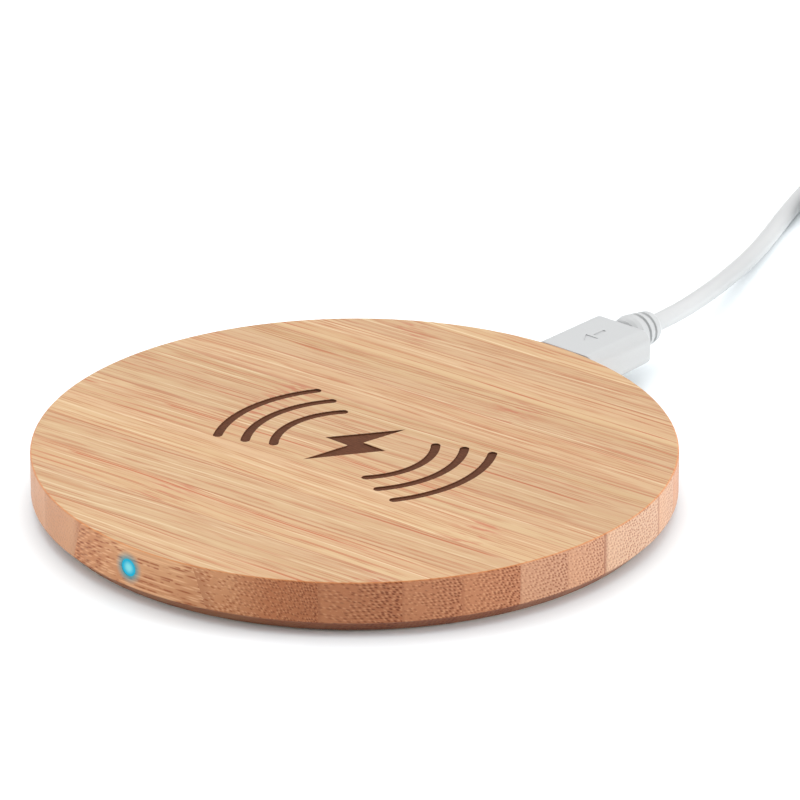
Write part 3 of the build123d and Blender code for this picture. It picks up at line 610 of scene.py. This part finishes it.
def board():
    """Circuit board: green mask over copper tracks and pours, plated holes, bare fibreglass at the edge."""
    look = Look("circuit_board", colour=(22, 92, 58), rough=0.35)
    board_x, board_y, _ = look.split(look.place)
    drift = look.vector("SCALE", look.noise(look.place, 0.08, colour=True), scale=9.0)
    cells_at = look.vector("ADD", look.place, drift)
    steps = look.vector("SNAP", cells_at, (2.6, 2.6, 2.6))
    way = look.split(look.noise(steps, 0.37, 1.0, colour=True))
    run = look.plus(board_x, board_y)
    turned = look.math("GREATER_THAN", way[0], 0.5)
    lane = look.math("MULTIPLY_ADD", turned, look.minus(run, board_x), board_x)
    track = look.math("PINGPONG", lane, 0.45)
    track = look.span(track, 0.16, 0.22, 1.0, 0.0)
    pour = look.span(look.noise(look.place, 0.16, 1.0), 0.50, 0.52)
    copper = look.math("MAXIMUM", pour, look.times(track, look.math("GREATER_THAN", way[1], 0.42)))
    flat_spot = look.join(board_x, board_y, 0.0)
    via, via_colour = look.cells(flat_spot, 0.42, 0.7, dimensions="2D")
    via_there = look.math("GREATER_THAN", look.split(via_colour)[0], 0.45)
    via_ring = look.times(look.span(via, 0.15, 0.18, 1.0, 0.0), via_there)
    via_hole = look.times(look.span(via, 0.07, 0.09, 1.0, 0.0), via_there)
    board_colour = look.mix(copper, rgb(10, 66, 40), rgb(24, 108, 62))
    board_colour = look.mix(via_ring, board_colour, rgb(196, 160, 84))
    board_colour = look.mix(via_hole, board_colour, rgb(14, 16, 14))
    edge_side = look.span(look.math("ABSOLUTE", look.split(look.normal)[2]), 0.4, 0.6, 1.0, 0.0)
    layers = look.noise(look.vector("MULTIPLY", look.place, (1.0, 1.0, 6.0)), 2.0)
    glass = look.mix(layers, rgb(150, 146, 88), rgb(186, 180, 120))
    look.set("Base Color", look.mix(edge_side, board_colour, glass))
    look.set("Metallic", look.times(via_ring, look.span(edge_side, 0.0, 1.0, 1.0, 0.0)))
    look.set("Roughness", look.span(copper, 0.0, 1.0, 0.42, 0.3))
    look.bump(look.minus(look.math("MAXIMUM", copper, via_ring), look.times(via_hole, 2.0)), 0.035, 0.8)
    return look


def ferrite():
    """Shield sheet: dark, gritty and cracked into small plates."""
    look = Look("ferrite_sheet", colour=(52, 50, 52), rough=0.55)
    crack, _ = look.cells(look.place, 0.28, feature="DISTANCE_TO_EDGE")
    grit = look.noise(look.place, 6.0, 4.0, 0.7)
    ferrite_base = look.mix(grit, rgb(42, 41, 44), rgb(66, 64, 67))
    crack = look.span(crack, 0.008, 0.02, 1.0, 0.0)
    look.set("Base Color", look.mix(crack, ferrite_base, rgb(20, 20, 22)))
    look.set("Roughness", look.span(grit, 0.3, 0.7, 0.42, 0.66))
    look.bump(look.minus(grit, crack), 0.03, 0.7)
    return look


def foam():
    """Open-celled foam."""
    look = Look("foam_pad", colour=(52, 52, 56), rough=0.95)
    pore, _ = look.cells(look.place, 2.6)
    pore_edge, _ = look.cells(look.place, 2.6, feature="DISTANCE_TO_EDGE")
    look.set("Base Color", look.mix(look.span(pore_edge, 0.0, 0.16), rgb(78, 78, 83), rgb(30, 30, 33)))
    look.bump(look.span(pore, 0.05, 0.6), 0.22, 0.9)
    return look


def copper_wire():
    """Winding: many enamelled strands twisted together, seen as slanting lines round the spiral."""
    look = Look("stranded_copper", colour=(196, 112, 62), rough=0.32, Metallic=1.0)
    wind_x, wind_y, wind_z = look.split(look.place)
    wind_angle = look.math("ARCTAN2", wind_y, wind_x)
    wind_reach = look.vector("LENGTH", look.join(wind_x, wind_y, 0.0), value_out=True)
    arc_run = look.times(wind_angle, look.math("ROUND", wind_reach))
    slant = look.plus(look.times(arc_run, 2.1), look.times(look.plus(wind_reach, wind_z), 7.0))
    strand = look.math("MULTIPLY_ADD", look.math("SINE", slant), 0.5, 0.5)
    enamel = look.noise(look.place, 0.9, 3.0)
    wire_colour = look.mix(strand, rgb(132, 62, 30), rgb(218, 132, 78))
    look.set("Base Color", look.mix(look.span(enamel, 0.4, 0.7, 0.0, 0.5), wire_colour, rgb(196, 96, 52)))
    look.set("Roughness", look.span(strand, 0.0, 1.0, 0.45, 0.26))
    look.bump(strand, 0.08, 0.8)
    return look


def lead_sleeve():
    """Sleeves of the coil's ends: woven glass fibre."""
    look = Look("woven_sleeve", colour=(226, 222, 206), rough=0.8)
    sleeve_x, sleeve_y, sleeve_z = look.split(look.place)
    thread = weave(look, look.plus(sleeve_x, sleeve_z), look.plus(sleeve_y, sleeve_z), 0.16)
    look.set("Base Color", look.mix(thread, rgb(176, 170, 148), rgb(232, 228, 212)))
    look.set("Roughness", look.span(thread, 0.0, 1.0, 0.9, 0.7))
    look.bump(thread, 0.05, 0.9)
    return look


def ceramic():
    """Small parts on the board: bodies with plated ends towards their neighbours."""
    look = Look("ceramic_body", colour=(176, 146, 108), rough=0.5)
    part_x, part_y, _ = look.split(look.place)
    sideways = look.vector("NORMALIZE", look.join(look.times(part_y, -1.0), part_x, 0.0))
    plated = look.math("ABSOLUTE", look.vector("DOT_PRODUCT", sideways, look.normal, value_out=True))
    plated = look.span(plated, 0.6, 0.8)
    speck = look.noise(look.place, 8.0, 3.0, 0.7)
    body = look.mix(speck, rgb(140, 112, 80), rgb(190, 160, 120))
    look.set("Base Color", look.mix(plated, body, rgb(188, 190, 192)))
    look.set("Metallic", plated)
    look.set("Roughness", look.span(speck, 0.3, 0.7, 0.3, 0.52))
    look.bump(speck, 0.02, 0.6)
    return look


def cable_jacket():
    """Cable: smooth jacket with faint long ripples."""
    look = Look("cable_jacket", colour=(184, 184, 184), rough=0.42)
    skin = look.noise(look.place, 1.1, 3.0, 0.6)
    ripple = look.noise(look.vector("MULTIPLY", look.place, (0.5, 0.5, 0.8)), 0.5, 1.0)
    look.set("Base Color", look.mix(skin, rgb(180, 181, 182), rgb(187, 187, 186)))
    look.set("Roughness", look.span(skin, 0.3, 0.7, 0.36, 0.5))
    look.bump(look.math("MULTIPLY_ADD", skin, 0.2, ripple), 0.05, 0.35)
    return look


def tie_fabric():
    """Tie: pale woven strap of hook-and-loop tape."""
    look = Look("tie_strap", colour=(190, 190, 188), rough=0.9)
    tie_x, tie_y, tie_z = look.split(look.place)
    tie_thread = weave(look, look.plus(tie_x, tie_z), tie_y, 0.34)
    fuzz = look.noise(look.place, 6.0, 4.0, 0.7)
    tie_base = look.mix(tie_thread, rgb(150, 150, 148), rgb(204, 204, 200))
    look.set("Base Color", look.mix(look.span(fuzz, 0.5, 0.8, 0.0, 0.5), tie_base, rgb(222, 222, 218)))
    look.set("Roughness", look.span(fuzz, 0.3, 0.7, 0.8, 0.98))
    look.bump(look.math("MULTIPLY_ADD", fuzz, 0.3, tie_thread), 0.12, 0.9)
    return look


def status_light():
    """Status light: bright in the middle, deeper towards its edge."""
    look = Look("status_light", colour=(6, 40, 48), rough=0.4, Specular_IOR_Level=0.15)
    light_x, _, light_z = look.split(look.place)
    off_x = look.minus(light_x, lamp_place[0])
    off_z = look.minus(light_z, lamp_place[2])
    off_centre = look.vector("LENGTH", look.join(off_x, 0.0, off_z), value_out=True)
    towards_edge = look.span(off_centre, 0.2, 1.25, smooth=True)
    look.set("Emission Color", look.mix(towards_edge, rgb(128, 216, 222), rgb(0, 168, 204)))
    look.set("Emission Strength", 1.0)
    return look


LOOKS = {
    "bamboo": bamboo,
    "cover_plastic": cover_plastic(),
    "rubber": rubber(),
    "steel": steel(),
    "board": board(),
    "film": simple("adhesive_film", (206, 150, 62), 0.28, (220, 170, 86), 1.2, 0.05),
    "ferrite": ferrite(),
    "foam": foam(),
    "copper_wire": copper_wire(),
    "lead_sleeve": lead_sleeve(),
    "solder": simple("solder_joint", (186, 188, 190), 0.26, (150, 152, 156), 3.0, 0.04, Metallic=1.0),
    "thermistor": simple("thermistor_bead", (58, 42, 34), 0.3, (76, 58, 46), 5.0, 0.02, Coat_Weight=0.6),
    "chip_plastic": simple("chip_moulding", (32, 32, 34), 0.6, (48, 48, 50), 10.0, 0.02),
    "ceramic": ceramic(),
    "port_plastic": simple("port_insulator", (28, 28, 30), 0.5, (42, 42, 44), 8.0, 0.012),
    "contact_gold": simple(
        "gold_plating", (226, 184, 98), 0.2, (198, 152, 72), 3.0, 0.01, stretch=(1.0, 5.0, 1.0), Metallic=1.0
    ),
    "white_plastic": simple("white_moulding", (173, 174, 174), 0.42, (178, 179, 179), 10.0, 0.015, Coat_Weight=0.08),
    "cable_jacket": cable_jacket(),
    "tie_fabric": tie_fabric(),
    "light": status_light(),
}

for node in nodes.values():
    for slot in node.material_slots:
        slot.material = LOOKS[slot.material.name].material
cable.data.materials.append(LOOKS["cable_jacket"].material)

bpy.context.view_layer.update()
